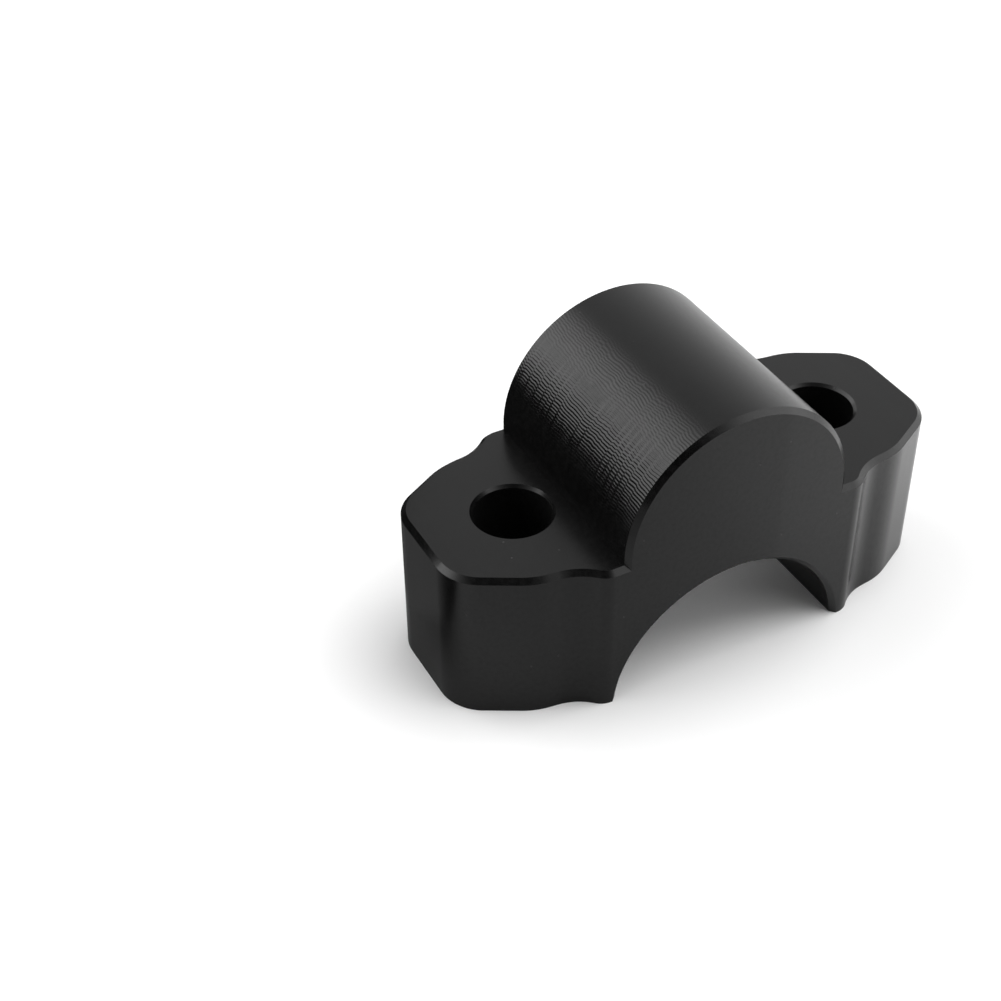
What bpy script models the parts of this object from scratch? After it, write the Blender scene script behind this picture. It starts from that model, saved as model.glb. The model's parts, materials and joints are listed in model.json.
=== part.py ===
"""Handlebar riser block, milled in one piece from aluminium billet and black anodised.

The block stands on its two feet with the round hump up. In use it is turned over: the hump takes the handlebar's
place in the fork's clamp, and the saddle carries the handlebar. A bolt passes through each ear.

X runs from ear to ear, Y along the handlebar and Z up. The origin is the middle of the footprint, at the feet.
"""

import math

import bmesh
import bpy

MM = 0.001

# Handlebar and bolts that the block is made for
BAR_DIAMETER = 28.6 * MM
BOLT_DIAMETER = 8.0 * MM
BOLT_CLEARANCE = 0.9 * MM  # on the bolt's diameter

# Block, seen from the front
WIDTH = 28.7 * MM  # along the handlebar
RISE = 22.0 * MM  # from the saddle's centre up to the hump's centre
SADDLE_CLEARANCE = 0.65 * MM  # from the handlebar to the saddle's wall
SADDLE_DROP = 1.65 * MM  # of the saddle's centre below the feet
EAR_SET_DOWN = 0.8 * MM  # of the ear tops below the hump's centre
HOLE_WEB = 1.7 * MM  # metal between the hump's flank and a bolt hole
END_WALL = 6.9 * MM  # metal between a bolt hole and the ear's end

# Plan outline, from the front face round to the ear's end
SHOULDER = 1.3 * MM  # front face beyond the hump's flank
SHOULDER_ROUND = 2.5 * MM
SHOULDER_TURN = math.radians(44.0)
WAIST_ROUND = 6.5 * MM
WAIST_SLOPE = math.radians(7.0)
WAIST_RUN = 1.0 * MM
FLANK_ROUND = 9.0 * MM
END_ROUND = 5.55 * MM
END_SET_IN = 10.55 * MM  # of the end flat's edges, from the front and the back face

# Edge breaks, all at 45 degrees
EDGE_CHAMFER = 0.6 * MM
HOLE_CHAMFER = 0.35 * MM

# Facets of a full turn
HUMP_FACETS = 192
SADDLE_FACETS = 192
HOLE_FACETS = 96
OUTLINE_FACETS = 120

# Sizes that follow from those above
HUMP_RADIUS = BAR_DIAMETER / 2
SADDLE_RADIUS = BAR_DIAMETER / 2 + SADDLE_CLEARANCE
HOLE_RADIUS = (BOLT_DIAMETER + BOLT_CLEARANCE) / 2
SADDLE_HEIGHT = -SADDLE_DROP
HUMP_HEIGHT = SADDLE_HEIGHT + RISE
EAR_TOP = HUMP_HEIGHT - EAR_SET_DOWN
CREST = HUMP_HEIGHT + HUMP_RADIUS
HOLE_OFFSET = HUMP_RADIUS + HOLE_WEB + HOLE_RADIUS
HALF_LENGTH = HOLE_OFFSET + HOLE_RADIUS + END_WALL
HALF_WIDTH = WIDTH / 2
OVERSHOOT = 5.0 * MM  # of a cutter past the face that it cuts


def remove_all_objects():
    for obj in list(bpy.data.objects):
        bpy.data.objects.remove(obj, do_unlink=True)


def new_collection(name):
    collection = bpy.data.collections.new(name)
    bpy.context.scene.collection.children.link(collection)
    return collection


def black_anodised():
    material = bpy.data.materials.new("black_anodised_aluminium")
    material.use_nodes = True
    shader = material.node_tree.nodes["Principled BSDF"]
    shader.inputs["Base Color"].default_value = (0.035, 0.034, 0.034, 1.0)
    shader.inputs["Metallic"].default_value = 0.6
    shader.inputs["Roughness"].default_value = 0.38
    material.diffuse_color = (0.05, 0.05, 0.05, 1.0)
    return material


def arc(centre, radius, start, end, facets):
    """Points along an arc, both ends included. Angles are in radians from +X towards the second axis."""
    count = max(2, math.ceil(facets * abs(end - start) / math.tau))
    angles = (start + (end - start) * step / count for step in range(count + 1))
    return [(centre[0] + radius * math.cos(a), centre[1] + radius * math.sin(a)) for a in angles]


def to_the_left(point, heading, distance):
    """The point that far to the left of the way ahead, or to the right where the distance is negative."""
    return point[0] - distance * math.sin(heading), point[1] + distance * math.cos(heading)


def ahead(point, heading, distance):
    return point[0] + distance * math.cos(heading), point[1] + distance * math.sin(heading)


def quarter_outline():
    """The plan outline from the front face's right end to the right ear's end edge, counterclockwise.

    The path leaves the front face with a convex shoulder, turns back in a concave waist, runs along the ear's
    flank and ends with a round corner. Each arc starts in the direction in which the last one ended.
    """
    face_end = (HUMP_RADIUS + SHOULDER, -HALF_WIDTH)
    shoulder_centre = to_the_left(face_end, 0.0, SHOULDER_ROUND)
    shoulder_end = to_the_left(shoulder_centre, SHOULDER_TURN, -SHOULDER_ROUND)
    waist_centre = to_the_left(shoulder_end, SHOULDER_TURN, -WAIST_ROUND)
    waist_end = to_the_left(waist_centre, WAIST_SLOPE, WAIST_ROUND)
    flank_start = ahead(waist_end, WAIST_SLOPE, WAIST_RUN)
    flank_centre = to_the_left(flank_start, WAIST_SLOPE, FLANK_ROUND)
    corner_centre = (HALF_LENGTH - END_ROUND, END_SET_IN - HALF_WIDTH)

    # The flank's straight touches its own round and the end round, so its slope follows from the two
    reach_x = corner_centre[0] - flank_centre[0]
    reach_y = corner_centre[1] - flank_centre[1]
    reach = math.hypot(reach_x, reach_y)
    slope = math.atan2(reach_y, reach_x) + math.asin((FLANK_ROUND - END_ROUND) / reach)

    right = -math.pi / 2  # from a heading to the side that faces out
    return (
        arc(shoulder_centre, SHOULDER_ROUND, right, SHOULDER_TURN + right, OUTLINE_FACETS)
        + arc(waist_centre, WAIST_ROUND, SHOULDER_TURN - right, WAIST_SLOPE - right, OUTLINE_FACETS)[1:]
        + arc(flank_centre, FLANK_ROUND, WAIST_SLOPE + right, slope + right, OUTLINE_FACETS)
        + arc(corner_centre, END_ROUND, slope + right, 0.0, OUTLINE_FACETS)
    )


def plan_outline():
    front_right = quarter_outline()
    back_right = [(x, -y) for x, y in reversed(front_right)]
    right = front_right + back_right
    left = [(-x, -y) for x, y in right]
    return right + left


def front_outline():
    """The ears and the hump from the front, open below the feet and past the ends, where the plan outline rules."""
    side = HALF_LENGTH + OVERSHOOT
    hump = arc((0.0, HUMP_HEIGHT), HUMP_RADIUS, 0.0, math.pi, HUMP_FACETS)
    ends = [(-HUMP_RADIUS, EAR_TOP), (-side, EAR_TOP), (-side, -OVERSHOOT)]
    return [(side, -OVERSHOOT), (side, EAR_TOP), (HUMP_RADIUS, EAR_TOP)] + hump + ends


def mesh_from(obj, name, collection):
    """The evaluated shape of an object as a mesh object of its own, at the same place, in the old one's stead."""
    bpy.context.view_layer.update()
    evaluated = obj.evaluated_get(bpy.context.evaluated_depsgraph_get())
    mesh = bpy.data.meshes.new_from_object(evaluated)
    mesh.name = name
    mesh.transform(obj.matrix_world)
    solid = bpy.data.objects.new(name, mesh)
    bpy.data.objects.remove(obj, do_unlink=True)
    collection.objects.link(solid)
    return solid


def extruded(name, outline, thickness, collection):
    """A closed prism of a flat outline, half its thickness to each side of the outline's plane."""
    curve = bpy.data.curves.new(name + "_outline", "CURVE")
    curve.dimensions = "2D"
    curve.fill_mode = "BOTH"
    curve.extrude = thickness / 2
    spline = curve.splines.new("POLY")
    spline.points.add(len(outline) - 1)
    for point, (x, y) in zip(spline.points, outline):
        point.co = (x, y, 0.0, 1.0)
    spline.use_cyclic_u = True
    flat = bpy.data.objects.new(name + "_outline", curve)
    collection.objects.link(flat)

    prism = mesh_from(flat, name, collection)
    bpy.data.curves.remove(curve)
    mesh = bmesh.new()
    mesh.from_mesh(prism.data)
    bmesh.ops.remove_doubles(mesh, verts=mesh.verts, dist=0.001 * MM)
    bmesh.ops.recalc_face_normals(mesh, faces=mesh.faces)
    mesh.to_mesh(prism.data)
    mesh.free()
    return prism


def turned(name, profile, facets, collection):
    """A solid turned about its own Z from a profile of (radius, height) points, listed from the top down."""
    mesh = bpy.data.meshes.new(name)
    mesh.from_pydata([(r, 0.0, z) for r, z in profile], [(i, i + 1) for i in range(len(profile) - 1)], [])
    solid = bpy.data.objects.new(name, mesh)
    collection.objects.link(solid)
    screw = solid.modifiers.new("turn", "SCREW")
    screw.axis = "Z"
    screw.steps = facets
    screw.render_steps = facets
    screw.use_merge_vertices = True
    screw.merge_threshold = 0.001 * MM
    return solid


def as_cutter(obj):
    obj.hide_render = True
    obj.display_type = "WIRE"
    return obj


def cut(obj, cutter, operation="DIFFERENCE"):
    boolean = obj.modifiers.new(cutter.name, "BOOLEAN")
    boolean.operation = operation
    boolean.solver = "EXACT"
    boolean.object = cutter


def saddle_cutter(collection):
    """The handlebar's half of the saddle, flared where it leaves the front and the back face."""
    flare = EDGE_CHAMFER + OVERSHOOT
    end = HALF_WIDTH + OVERSHOOT
    straight = HALF_WIDTH - EDGE_CHAMFER
    profile = [
        (0.0, end),
        (SADDLE_RADIUS + flare, end),
        (SADDLE_RADIUS, straight),
        (SADDLE_RADIUS, -straight),
        (SADDLE_RADIUS + flare, -end),
        (0.0, -end),
    ]
    cutter = turned("saddle_cutter", profile, SADDLE_FACETS, collection)
    cutter.rotation_euler.x = math.pi / 2
    cutter.location.z = SADDLE_HEIGHT
    return as_cutter(cutter)


def bolt_hole_cutter(name, x, collection):
    """A bolt hole, chamfered at the ear's top. The flare ends just above the top, well clear of the hump."""
    flare = 1.5 * HOLE_CHAMFER
    profile = [
        (0.0, EAR_TOP + OVERSHOOT),
        (HOLE_RADIUS + flare, EAR_TOP + OVERSHOOT),
        (HOLE_RADIUS + flare, EAR_TOP - HOLE_CHAMFER + flare),
        (HOLE_RADIUS, EAR_TOP - HOLE_CHAMFER),
        (HOLE_RADIUS, -OVERSHOOT),
        (0.0, -OVERSHOOT),
    ]
    cutter = turned(name, profile, HOLE_FACETS, collection)
    cutter.location.x = x
    return as_cutter(cutter)


def is_top_edge(edge):
    """Whether an edge lies between a side of the block, which reaches down to the feet, and the block's top."""
    below = EAR_TOP / 2
    sides = [face for face in edge.link_faces if min(vertex.co.z for vertex in face.verts) < below]
    return len(sides) == 1 and min(vertex.co.z for vertex in edge.verts) > below


def chamfer_top_edges(block):
    """One chamfer round the ear tops and up over both ends of the hump, with a mitre where the two meet."""
    mesh = bmesh.new()
    mesh.from_mesh(block.data)
    weight = mesh.edges.layers.float.new("bevel_weight_edge")
    for edge in mesh.edges:
        edge[weight] = 1.0 if is_top_edge(edge) else 0.0
    mesh.to_mesh(block.data)
    mesh.free()
    bevel = block.modifiers.new("edge_chamfer", "BEVEL")
    bevel.limit_method = "WEIGHT"
    bevel.offset_type = "OFFSET"
    bevel.width = EDGE_CHAMFER
    bevel.segments = 1
    bevel.use_clamp_overlap = False


def riser_block(collection, cutters):
    """The billet's plan outline, milled to the front outline, chamfered, bored and given its saddle."""
    top = CREST + OVERSHOOT
    billet = extruded("billet", plan_outline(), top, collection)
    billet.location.z = top / 2
    front = extruded("front_outline", front_outline(), WIDTH + 2 * OVERSHOOT, cutters)
    front.rotation_euler.x = math.pi / 2
    cut(billet, front, "INTERSECT")
    block = mesh_from(billet, "riser_block", collection)
    bpy.data.objects.remove(front, do_unlink=True)

    chamfer_top_edges(block)
    cut(block, saddle_cutter(cutters))
    for side, x in (("right", HOLE_OFFSET), ("left", -HOLE_OFFSET)):
        cut(block, bolt_hole_cutter(side + "_bolt_hole_cutter", x, cutters))
    block.data.materials.clear()
    block.data.materials.append(black_anodised())
    block.data.shade_smooth()
    block.data.set_sharp_from_angle(angle=math.radians(20.0))
    return block


def main():
    remove_all_objects()
    riser = new_collection("handlebar_riser")
    cutters = new_collection("handlebar_riser_cutters")
    cutters.hide_render = True
    riser_block(riser, cutters)


main()
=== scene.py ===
"""The look of the milled handlebar riser block.

It is black anodised aluminium. Its hump carries the ripple that the mill left on both flanks.
"""

import json
import math

import bmesh
import bpy
from mathutils import Matrix, Vector


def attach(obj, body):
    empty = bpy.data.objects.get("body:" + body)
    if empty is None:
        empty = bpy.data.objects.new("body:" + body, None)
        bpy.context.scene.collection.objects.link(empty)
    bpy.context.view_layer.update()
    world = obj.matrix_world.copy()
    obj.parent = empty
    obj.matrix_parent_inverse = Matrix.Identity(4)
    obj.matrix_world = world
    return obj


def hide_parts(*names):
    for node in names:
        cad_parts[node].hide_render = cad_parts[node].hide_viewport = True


MM = 0.001
WELD = 0.001 * MM  # distance at which two points are one
CLEAR = 0.1 * MM  # far more than a rounding error, and less than any size of the block
OFF_ROUND = 0.02 * MM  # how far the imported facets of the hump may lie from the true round
ON_ROUND = 0.004 * MM  # how far the fine grid may lie from it
FLAT = math.radians(0.1)  # turn between two faces that lie in one plane
SHARP = math.radians(20.0)  # turn from which an edge is crisp

# How far from its axis the wall of a bore may lie, a little more than its radius
HOLE_REACH = 4.9 * MM
SADDLE_REACH = 16.0 * MM

# Grid that carries the ripple: parts to a facet round the hump, and rows to a pass of the tool along it
PARTS_PER_FACET = 7
ROWS_PER_PASS = 3
PASSES = 56

# Ripple: where it begins, as a way round the hump from its crest on either flank, and its marks
LEFT_START = 3.5 * MM
RIGHT_START = 15.5 * MM
MARK_PITCH = 0.383 * MM
MARK_DEPTH = 0.0200 * MM
SEED = 3.0

# Camera: where its axis meets the floor, how far back it stands, and how it is turned
AIM = Vector((-9.79, 23.46, 0.0)) * MM
DISTANCE = 229.4 * MM
HEADING = math.radians(27.371)
LOOK_DOWN = math.radians(39.284)
ROLL = math.radians(0.786)
LENS = 64.02  # mm
SENSOR = 36.0  # mm wide


class Value:
    """A number that varies over a surface. Sums on it add the Math nodes that they need."""

    def __init__(self, nodes, socket):
        self.nodes = nodes
        self.socket = socket

    def __add__(self, other):
        return self.nodes.math("ADD", self, other)

    __radd__ = __add__

    def __sub__(self, other):
        return self.nodes.math("SUBTRACT", self, other)

    def __rsub__(self, other):
        return self.nodes.math("SUBTRACT", other, self)

    def __mul__(self, other):
        return self.nodes.math("MULTIPLY", self, other)

    __rmul__ = __mul__

    def __truediv__(self, other):
        return self.nodes.math("DIVIDE", self, other)

    def __neg__(self):
        return self.nodes.math("MULTIPLY", self, -1.0)


class Nodes:
    """A node tree being built, for a material, for the world or for the ripple."""

    def __init__(self, tree):
        self.tree = tree
        tree.nodes.clear()

    def add(self, kind, settings=None, sockets=None):
        """Adds a node: its settings, then the values or links of its sockets, by name or number."""
        node = self.tree.nodes.new(kind)
        for name, value in (settings or {}).items():
            setattr(node, name, value)
        for name, value in (sockets or {}).items():
            self.join(value, node.inputs[name])
        return node

    def join(self, value, socket):
        if isinstance(value, Value):
            self.tree.links.new(value.socket, socket)
        else:
            socket.default_value = value

    def out(self, node, name=0):
        return Value(self, node.outputs[name])

    def math(self, operation, *values):
        return self.out(self.add("ShaderNodeMath", {"operation": operation}, dict(enumerate(values))))

    def split(self, vector):
        """The three numbers of a vector."""
        node = self.add("ShaderNodeSeparateXYZ", sockets={0: vector})
        return [self.out(node, axis) for axis in range(3)]

    def joined(self, x, y, z):
        """The vector of three numbers."""
        return self.out(self.add("ShaderNodeCombineXYZ", sockets={0: x, 1: y, 2: z}))

    def grey(self, level):
        """The grey colour of that level."""
        return self.out(self.add("ShaderNodeCombineColor", sockets={0: level, 1: level, 2: level}))

    def noise(self, vector, detail=2.0, roughness=0.5):
        """Smooth noise from 0 to 1, one swing to each unit of the vector."""
        sockets = {"Vector": vector, "Scale": 1.0, "Detail": detail, "Roughness": roughness}
        return self.out(self.add("ShaderNodeTexNoise", sockets=sockets))

    def smooth_step(self, value, low, high):
        """0 below low, 1 above high and a smooth ramp between."""
        settings = {"interpolation_type": "SMOOTHSTEP"}
        sockets = {"Value": value, "From Min": low, "From Max": high}
        return self.out(self.add("ShaderNodeMapRange", settings, sockets))


def measured(frame):
    """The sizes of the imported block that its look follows, from its mesh and its record."""
    points = [vertex.co for vertex in frame["nodes"]["riser_block"].data.vertices]
    mounts = {mount["name"]: mount["pos_m"] for mount in frame["record"]["mounts"]}
    spaces = {space["name"]: space["box_m"] for space in frame["record"]["physics"]["openings"]}
    ear_top = mounts["right_ear_top"][2]
    bolt_low, bolt_high = spaces["right_bolt_hole"]
    crest = max(p.z for p in points)
    radius = max(p.x for p in points if p.z > ear_top + CLEAR)
    return {
        "radius": radius,
        "height": crest - radius,
        "half_length": max(p.y for p in points if p.z > crest - WELD),
        "ear_top": ear_top,
        "hole_offset": (bolt_low[0] + bolt_high[0]) / 2,
    }


def on_hump(point, size):
    """Whether a point lies on the hump's round, its two end edges included."""
    off = math.hypot(point.x, point.z - size["height"]) - size["radius"]
    is_above = point.z > size["height"] - WELD
    is_within = abs(point.y) < size["half_length"] + WELD
    return abs(off) < OFF_ROUND and is_above and is_within


def is_rippled(point, size):
    """Whether the ripple reaches a point of the hump's round, which is smooth over its crest."""
    way = size["radius"] * math.atan2(point.x, point.z - size["height"])
    return way < CLEAR - LEFT_START or way > RIGHT_START - CLEAR


def hump_edges(mesh, size, along):
    """The edges on the hump's round that run along it, or else those round it where it is rippled."""
    found = []
    for edge in mesh.edges:
        a, b = (vertex.co for vertex in edge.verts)
        runs_along = abs(a.y - b.y) > CLEAR
        wanted = runs_along if along else not runs_along and is_rippled((a + b) / 2, size)
        if wanted and on_hump(a, size) and on_hump(b, size):
            found.append(edge)
    return found


def body_mesh(frame, size):
    """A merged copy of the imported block, whose hump has a fine grid that lies on the true round."""
    mesh = bmesh.new()
    mesh.from_mesh(frame["nodes"]["riser_block"].data)
    bmesh.ops.remove_doubles(mesh, verts=mesh.verts, dist=WELD)
    bmesh.ops.dissolve_limit(mesh, angle_limit=FLAT, verts=mesh.verts, edges=mesh.edges)
    along = hump_edges(mesh, size, True)
    bmesh.ops.subdivide_edges(mesh, edges=along, cuts=ROWS_PER_PASS * PASSES - 1, use_grid_fill=True)
    across = hump_edges(mesh, size, False)
    bmesh.ops.subdivide_edges(mesh, edges=across, cuts=PARTS_PER_FACET - 1, use_grid_fill=True)
    for vertex in mesh.verts:
        if on_hump(vertex.co, size):
            out = Vector((vertex.co.x, vertex.co.z - size["height"])).normalized() * size["radius"]
            vertex.co.x = out.x
            vertex.co.z = size["height"] + out.y
    mesh.normal_update()
    for edge in mesh.edges:
        edge.smooth = edge.calc_face_angle(0.0) < SHARP
    for face in mesh.faces:
        face.smooth = True
    data = bpy.data.meshes.new("riser_body")
    mesh.to_mesh(data)
    mesh.free()
    return data


def lay_attributes(data, size):
    """Marks each face with the way that its tool ran: along Y, or else upright, or round a bolt hole."""
    along_y = data.attributes.new("lay_along", "FLOAT", "FACE")
    bored = data.attributes.new("bored", "FLOAT", "FACE")
    for face in data.polygons:
        normal = face.normal
        centre = face.center
        from_bolt = math.hypot(abs(centre.x) - size["hole_offset"], centre.y)
        is_hole = abs(normal.z) < 0.5 and from_bolt < HOLE_REACH
        is_hump = centre.z > size["ear_top"] + WELD
        is_saddle = math.hypot(centre.x, centre.z) < SADDLE_REACH
        is_round = abs(normal.y) < 0.1 and not is_hole and (is_hump or is_saddle)
        is_level = abs(normal.z) > 0.99
        along_y.data[face.index].value = 1.0 if is_round or is_level else 0.0
        bored.data[face.index].value = 1.0 if is_hole else 0.0


def ripple_tree(material):
    """The ripple on the hump. The tool went round it in narrow passes, and left its feed marks in each."""
    tree = bpy.data.node_groups.new("hump_ripple", "GeometryNodeTree")
    tree.is_modifier = True
    interface = tree.interface
    interface.new_socket("Geometry", in_out="INPUT", socket_type="NodeSocketGeometry")
    names = ["Hump radius", "Hump height", "Hump half length"]
    names += ["Pass width", "Mark pitch", "Mark depth", "Seed"]
    for name in names:
        interface.new_socket(name, in_out="INPUT", socket_type="NodeSocketFloat")
    interface.new_socket("Geometry", in_out="OUTPUT", socket_type="NodeSocketGeometry")

    nodes = Nodes(tree)
    given = nodes.add("NodeGroupInput")
    radius, height, half_length, width, pitch, depth, seed = (nodes.out(given, name) for name in names)
    x, y, z = nodes.split(nodes.out(nodes.add("GeometryNodeInputPosition")))
    rise = z - height
    reach = nodes.math("SQRT", x * x + rise * rise)
    on_round = nodes.math("COMPARE", reach, radius, ON_ROUND)
    above = nodes.math("GREATER_THAN", rise, 0.0)

    # The ripple weakens a little at both ends of the hump, and fades out at its foot
    from_end = half_length - nodes.math("ABSOLUTE", y)
    fade = nodes.smooth_step(from_end, -0.2 * MM, 0.1 * MM) * nodes.smooth_step(rise, 0.0, 0.4 * MM)

    # The quarter keeps each row of the grid off the border between two passes. A few passes side by
    # side make a run, and the marks jump from each run to the next
    round_way = nodes.math("ARCTAN2", x, rise) * radius
    tool_pass = nodes.math("FLOOR", (y + half_length) / width + 0.25)
    sway = nodes.noise(nodes.joined(tool_pass / 2.5, seed, 0.0))
    run = nodes.math("FLOOR", 0.45 * tool_pass + 2.5 * sway)
    settings = {"noise_dimensions": "1D"}
    chance = nodes.out(nodes.add("ShaderNodeTexWhiteNoise", settings, {"W": run + seed}))
    jump = 0.42 * nodes.math("PINGPONG", run, 1.0) + 0.35 * chance

    # They also drift slowly along the hump and wander a little from row to row, more so near the crest
    drift = nodes.noise(nodes.joined(tool_pass / 12.0, round_way / (30.0 * MM), seed))
    place = nodes.joined(y / (1.6 * MM), round_way / (1.2 * MM), seed + 13.0)
    wander = nodes.noise(place, detail=0.0)
    near_crest = nodes.smooth_step(round_way, -11.0 * MM, -5.0 * MM)
    marks = round_way / pitch + 4.0 * drift + jump + (0.6 + 0.9 * near_crest) * wander

    # Their strength is uneven, and on the left flank less towards the crest and towards the back
    bite = nodes.noise(nodes.joined(tool_pass / 1.7, round_way / (1.6 * MM), seed + 19.0))
    to_back = nodes.smooth_step(y, 0.0, half_length)
    left_flank = nodes.smooth_step(-round_way, LEFT_START, LEFT_START + 6.0 * MM)
    left_flank = left_flank * (1.0 - 0.2 * to_back) * (1.0 - 0.3 * near_crest)
    right_flank = nodes.smooth_step(round_way, RIGHT_START, RIGHT_START + 2.5 * MM)
    strength = (0.55 + 0.9 * bite) * (left_flank + right_flank)
    ripple = nodes.math("SINE", math.tau * marks) * depth * strength * fade

    away = nodes.joined(x / reach, 0.0, rise / reach)
    outward = nodes.add("ShaderNodeVectorMath", {"operation": "SCALE"}, {0: away, "Scale": ripple})
    moved = nodes.add(
        "GeometryNodeSetPosition",
        sockets={
            "Geometry": nodes.out(given, "Geometry"),
            "Selection": on_round * above,
            "Offset": nodes.out(outward),
        },
    )
    real = nodes.add("GeometryNodeRealizeInstances", sockets={"Geometry": nodes.out(moved)})
    sockets = {"Geometry": nodes.out(real), "Material": material}
    done = nodes.add("GeometryNodeSetMaterial", sockets=sockets)
    nodes.add("NodeGroupOutput", sockets={"Geometry": nodes.out(done)})
    return tree


def black_anodised():
    """Black anodised aluminium, satin: a dark layer that shines like glaze, over faint tool lines."""
    material = bpy.data.materials.new("black_anodised_aluminium")
    material.use_nodes = True
    nodes = Nodes(material.node_tree)
    place = nodes.out(nodes.add("ShaderNodeTexCoord"), "Object")
    x, y, z = nodes.split(place)
    along = nodes.out(nodes.add("ShaderNodeAttribute", {"attribute_name": "lay_along"}), "Fac")
    bored = nodes.out(nodes.add("ShaderNodeAttribute", {"attribute_name": "bored"}), "Fac")

    def swings(x_size, y_size, z_size, **settings):
        """Noise whose swings have those lengths."""
        return nodes.noise(nodes.joined(x / x_size, y / y_size, z / z_size), **settings)

    def lines(width, length):
        """Streaks of that width and length, along the way in which the tool ran."""
        upright = swings(width, width, length)
        endwise = swings(width, length, width)
        rings = swings(length, length, width)
        flat = upright + along * (endwise - upright)
        return flat + bored * (rings - flat)

    fine = lines(0.18 * MM, 9.0 * MM)
    broad = lines(1.6 * MM, 40.0 * MM)
    cloud = swings(7.0 * MM, 7.0 * MM, 7.0 * MM, detail=3.0)
    grain = swings(0.12 * MM, 0.12 * MM, 0.12 * MM, detail=1.0)
    spots = swings(0.6 * MM, 0.6 * MM, 0.6 * MM, roughness=0.6)
    mottle = nodes.smooth_step(spots, 0.38, 0.75)

    # The last cut left a slightly paler stripe up the right half of both end faces
    stripe_start = nodes.smooth_step(x, 4.6 * MM, 6.4 * MM)
    stripe_end = nodes.smooth_step(x, 15.0 * MM, 17.0 * MM)
    last_cut = stripe_start * (1.0 - stripe_end) * (1.0 - along)

    # Dust: a small speck in some of the cells
    sockets = {"Vector": place, "Scale": 1.0 / (2.3 * MM)}
    cells = nodes.add("ShaderNodeTexVoronoi", {"feature": "F1"}, sockets)
    near = 1.0 - nodes.smooth_step(nodes.out(cells, "Distance"), 0.03, 0.07)
    dusty = nodes.math("GREATER_THAN", nodes.split(nodes.out(cells, "Color"))[0], 0.45)
    specks = near * dusty

    tone = 0.0002 + 0.0018 * (0.3 * cloud + 0.3 * broad + 0.4 * grain) + 0.0050 * mottle
    tone = tone + 0.0070 * last_cut + 0.0055 * bored + 0.03 * specks
    roughness = 0.18 + 0.05 * cloud + 0.05 * broad + 0.03 * grain
    height = 0.55 * fine + 0.3 * grain + 0.6 * broad
    sockets = {"Strength": 1.0, "Distance": 0.0022 * MM, "Height": height}
    relief = nodes.add("ShaderNodeBump", sockets=sockets)
    shader = nodes.add(
        "ShaderNodeBsdfPrincipled",
        sockets={
            "Base Color": nodes.grey(tone),
            "Roughness": roughness,
            "Metallic": 0.13 * mottle,
            "IOR": 1.5,
            "Normal": nodes.out(relief),
        },
    )
    nodes.add("ShaderNodeOutputMaterial", sockets={"Surface": nodes.out(shader)})
    return material


def riser_body(frame, size):
    """The block as it is seen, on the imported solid's own outline."""
    material = black_anodised()
    data = body_mesh(frame, size)
    lay_attributes(data, size)
    blank = bpy.data.objects.new("riser_blank", data)
    bpy.context.scene.collection.objects.link(blank)

    tree = ripple_tree(material)
    ripple = blank.modifiers.new("ripple", "NODES")
    ripple.node_group = tree
    values = {
        "Hump radius": size["radius"],
        "Hump height": size["height"],
        "Hump half length": size["half_length"],
        "Pass width": 2 * size["half_length"] / PASSES,
        "Mark pitch": MARK_PITCH,
        "Mark depth": MARK_DEPTH,
        "Seed": SEED,
    }
    for socket in tree.interface.items_tree:
        if socket.name in values:
            ripple[socket.identifier] = values[socket.name]
    weighted = blank.modifiers.new("flat_faces_first", "WEIGHTED_NORMAL")
    weighted.keep_sharp = True

    bpy.context.view_layer.update()
    evaluated = blank.evaluated_get(bpy.context.evaluated_depsgraph_get())
    mesh = bpy.data.meshes.new_from_object(evaluated)
    mesh.name = "riser_body"
    bpy.data.objects.remove(blank, do_unlink=True)
    body = bpy.data.objects.new("riser_body", mesh)
    bpy.context.scene.collection.objects.link(body)
    return body


def floor():
    """A pale floor. The block sees it grey, with painted light and shade, and the camera sees it white,
    with the block's shadow.
    """
    mesh = bpy.data.meshes.new("floor")
    side = 3.0  # m from the block to each edge
    corners = [(-side, -side, 0), (side, -side, 0), (side, side, 0), (-side, side, 0)]
    mesh.from_pydata(corners, [], [(0, 1, 2, 3)])
    plane = bpy.data.objects.new("floor", mesh)
    bpy.context.scene.collection.objects.link(plane)
    material = bpy.data.materials.new("pale_floor")
    material.use_nodes = True
    nodes = Nodes(material.node_tree)
    seen = nodes.out(nodes.add("ShaderNodeLightPath"), "Is Camera Ray")
    x, y, _ = nodes.split(nodes.out(nodes.add("ShaderNodeTexCoord"), "Object"))

    # Painted light and shade, as the block sees the floor in its shine: palest at the right, darker in
    # front and behind, a painted shadow nearly black at the left, and a painted pale spot in front at the
    # right
    to_right = nodes.smooth_step(x, -15 * MM, 60 * MM)
    to_front = nodes.smooth_step(-y, 0.0, 75 * MM)
    to_back = nodes.smooth_step(y, 15 * MM, 45 * MM)
    painted_shadow_spot = nodes.smooth_step(-x, 24 * MM, 42 * MM) * nodes.smooth_step(y, -16 * MM, 6 * MM)
    painted_light_spot = nodes.smooth_step(x + 0.33 * y, 1 * MM, 8 * MM) * nodes.smooth_step(-y, 18 * MM, 30 * MM)
    level = (0.46 + 0.54 * to_right) * (1.0 - 0.38 * to_front) * (1.0 - 0.94 * painted_shadow_spot)
    level = level * (1.0 - 0.25 * to_back) + 0.06 * painted_light_spot

    lit = nodes.add("ShaderNodeBsdfDiffuse", sockets={"Color": nodes.grey(level)})
    white = nodes.add("ShaderNodeBsdfDiffuse", sockets={"Color": (1.0, 1.0, 1.0, 1.0)})
    sockets = {"Fac": seen, 1: nodes.out(lit), 2: nodes.out(white)}
    shown = nodes.add("ShaderNodeMixShader", sockets=sockets)
    nodes.add("ShaderNodeOutputMaterial", sockets={"Surface": nodes.out(shown)})
    mesh.materials.append(material)
    return plane


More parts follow.
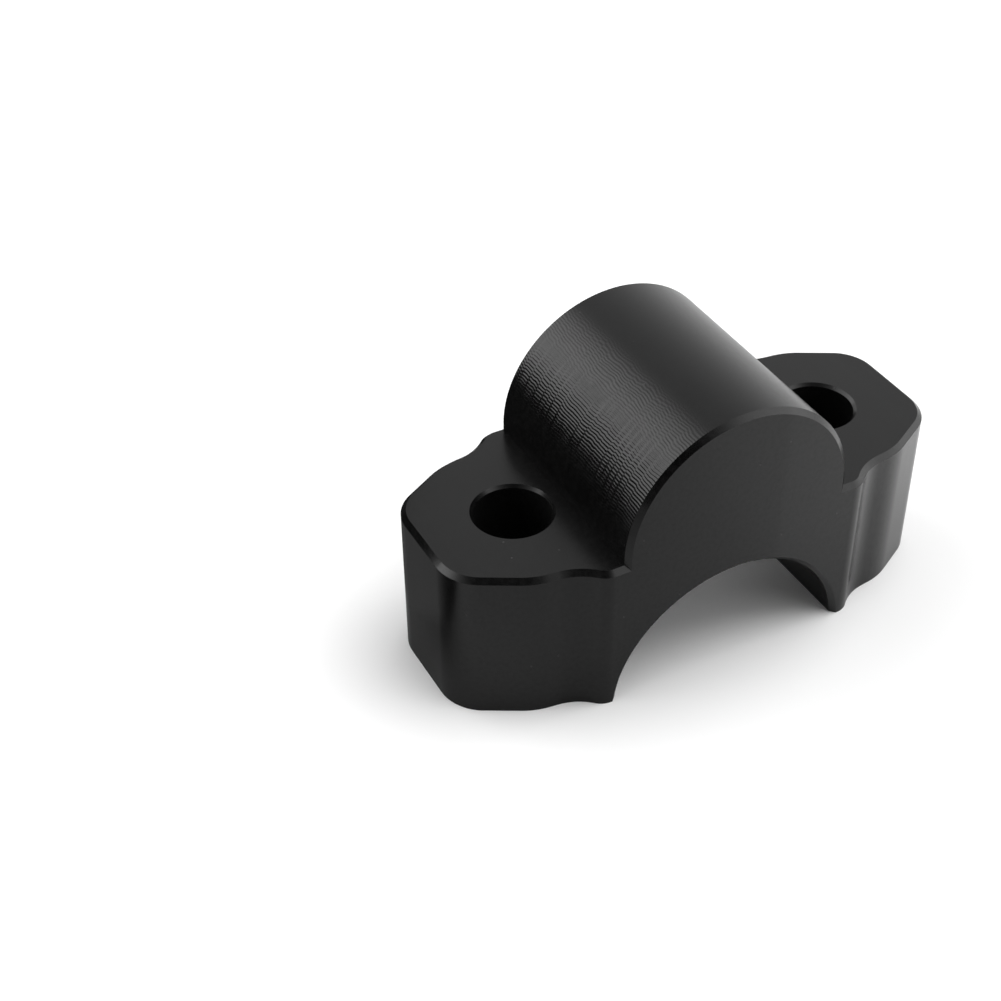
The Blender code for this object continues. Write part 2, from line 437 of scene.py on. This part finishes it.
def dark_card():
    """A card at the left of the block, lower at its ends. It glows faintly as a painted dark reflection,
    with painted light low down along one stretch. Only the shine shows it.
    """
    middle = Vector((-30.4, 15.4, 0.0)) * MM
    along = Vector((0.644, 0.765, 0.0))

    # Outline in mm: the way along the card from its middle, and the height
    foot = [(-32, 0), (32, 0)]
    top = [(20, 29.6), (8, 30.8), (3, 33.0), (0, 35.3), (-5, 34.7), (-9, 32.5), (-13, 29.8)]
    outline = foot + [(32, 19.5), (23, 20)] + top + [(-15, 20), (-32, 19.5)]
    mesh = bpy.data.meshes.new("dark_card")
    corners = [middle + way * MM * along + Vector((0.0, 0.0, height * MM)) for way, height in outline]
    mesh.from_pydata(corners, [], [range(len(corners))])
    card = bpy.data.objects.new("dark_card", mesh)
    bpy.context.scene.collection.objects.link(card)

    material = bpy.data.materials.new("dark_paper")
    material.use_nodes = True
    nodes = Nodes(material.node_tree)
    x, y, z = nodes.split(nodes.out(nodes.add("ShaderNodeTexCoord"), "Object"))
    way = (x - middle.x) * along.x + (y - middle.y) * along.y
    low_down = 1.0 - nodes.smooth_step(z, 13 * MM, 20 * MM)
    stretch = nodes.smooth_step(way, -24 * MM, -10 * MM) * (1.0 - nodes.smooth_step(way, -5 * MM, 3 * MM))
    # Painted light and shade: a faint glow, dark above and paler low down along one stretch of the card
    painted_glow = 0.02 + 0.15 * low_down * stretch
    card_glow_shader = nodes.add("ShaderNodeEmission", sockets={"Color": nodes.grey(painted_glow), "Strength": 1.0})
    nodes.add("ShaderNodeOutputMaterial", sockets={"Surface": nodes.out(card_glow_shader)})
    mesh.materials.append(material)
    card.visible_camera = False
    card.visible_diffuse = False
    card.visible_shadow = False
    return card


def direction(azimuth, elevation):
    """The way to a light. Azimuth 0 is behind the block, along +Y, and 90 is at its right, along +X."""
    a = math.radians(azimuth)
    e = math.radians(elevation)
    return Vector((math.sin(a) * math.cos(e), math.cos(a) * math.cos(e), math.sin(e)))


def room():
    """A pale room, white to the camera. As light it glows at either side and is dark round the camera."""
    world = bpy.data.worlds.new("room")
    bpy.context.scene.world = world
    world.use_nodes = True
    nodes = Nodes(world.node_tree)
    x, y, z = nodes.split(nodes.out(nodes.add("ShaderNodeTexCoord"), "Generated"))

    def patch(azimuth, elevation, core, reach):
        """1 within the core's angle of a direction, and 0 from the reach's angle on."""
        way = direction(azimuth, elevation)
        facing = way.x * x + way.y * y + way.z * z
        return nodes.smooth_step(facing, math.cos(math.radians(reach)), math.cos(math.radians(core)))

    walls = 0.40 + 0.64 * (1.0 - nodes.smooth_step(z, -0.1, 1.0))
    left = 1.90 * patch(azimuth=-47, elevation=35, core=18, reach=38) * nodes.smooth_step(z, 0.06, 0.38)
    left = left * (1.0 - 0.25 * nodes.smooth_step(z, 0.42, 0.75))
    right = 1.15 * patch(azimuth=114, elevation=20, core=8, reach=52) * nodes.smooth_step(z, -0.1, 0.3)
    round_camera = patch(azimuth=-150, elevation=23, core=24, reach=50)
    level = walls * (1.0 - 0.97 * round_camera) + left + right

    # Seen by way of two mirrorings the room is dimmed, as it is in a deep crease
    path = nodes.add("ShaderNodeLightPath")
    seen = nodes.out(path, "Is Camera Ray")
    second = nodes.math("GREATER_THAN", nodes.out(path, "Glossy Depth"), 1.5)
    twice = second * nodes.out(path, "Is Glossy Ray")
    dimmed = nodes.grey(level * (1.0 - 0.8 * twice))

    light = nodes.add("ShaderNodeBackground", sockets={"Color": dimmed, "Strength": 1.0})
    white = nodes.add("ShaderNodeBackground", sockets={"Color": (1.0, 1.0, 1.0, 1.0), "Strength": 1.0})
    sockets = {"Fac": seen, 1: nodes.out(light), 2: nodes.out(white)}
    shown = nodes.add("ShaderNodeMixShader", sockets=sockets)
    nodes.add("ShaderNodeOutputWorld", sockets={"Surface": nodes.out(shown)})


def top_light():
    """A wide soft light high up on the right, which gives the block its shadow on the floor."""
    lamp = bpy.data.lights.new("top_light", "SUN")
    lamp.energy = 1.55
    lamp.angle = math.radians(50)
    light = bpy.data.objects.new("top_light", lamp)
    light.rotation_euler = direction(azimuth=100, elevation=68).to_track_quat("Z", "Y").to_euler()
    bpy.context.scene.collection.objects.link(light)


def camera():
    """The camera, where the photograph was taken from."""
    level = math.cos(LOOK_DOWN)
    forward = Vector((math.sin(HEADING) * level, math.cos(HEADING) * level, -math.sin(LOOK_DOWN)))
    right = Vector((math.cos(HEADING), -math.sin(HEADING), 0.0))
    down = forward.cross(right)
    across = math.cos(ROLL) * right + math.sin(ROLL) * down
    up = math.sin(ROLL) * right - math.cos(ROLL) * down
    lens = bpy.data.cameras.new("camera")
    lens.sensor_width = SENSOR
    lens.lens = LENS
    lens.clip_start = 0.01
    eye = bpy.data.objects.new("camera", lens)
    turned = Matrix((across, up, -forward)).transposed().to_4x4()
    eye.matrix_world = Matrix.Translation(AIM - DISTANCE * forward) @ turned
    bpy.context.scene.collection.objects.link(eye)
    bpy.context.scene.camera = eye


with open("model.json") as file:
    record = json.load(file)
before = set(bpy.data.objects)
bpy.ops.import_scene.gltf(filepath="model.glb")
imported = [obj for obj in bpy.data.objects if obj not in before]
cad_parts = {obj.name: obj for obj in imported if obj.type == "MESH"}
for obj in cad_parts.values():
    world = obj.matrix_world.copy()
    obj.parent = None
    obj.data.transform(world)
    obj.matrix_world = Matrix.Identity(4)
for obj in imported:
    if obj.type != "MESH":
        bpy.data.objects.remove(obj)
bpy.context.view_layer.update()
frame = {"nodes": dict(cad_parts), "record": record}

body = riser_body(frame, measured(frame))
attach(body, "root")
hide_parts("riser_block")

floor()
dark_card()
room()
top_light()
camera()
bpy.context.scene.view_settings.view_transform = "Standard"
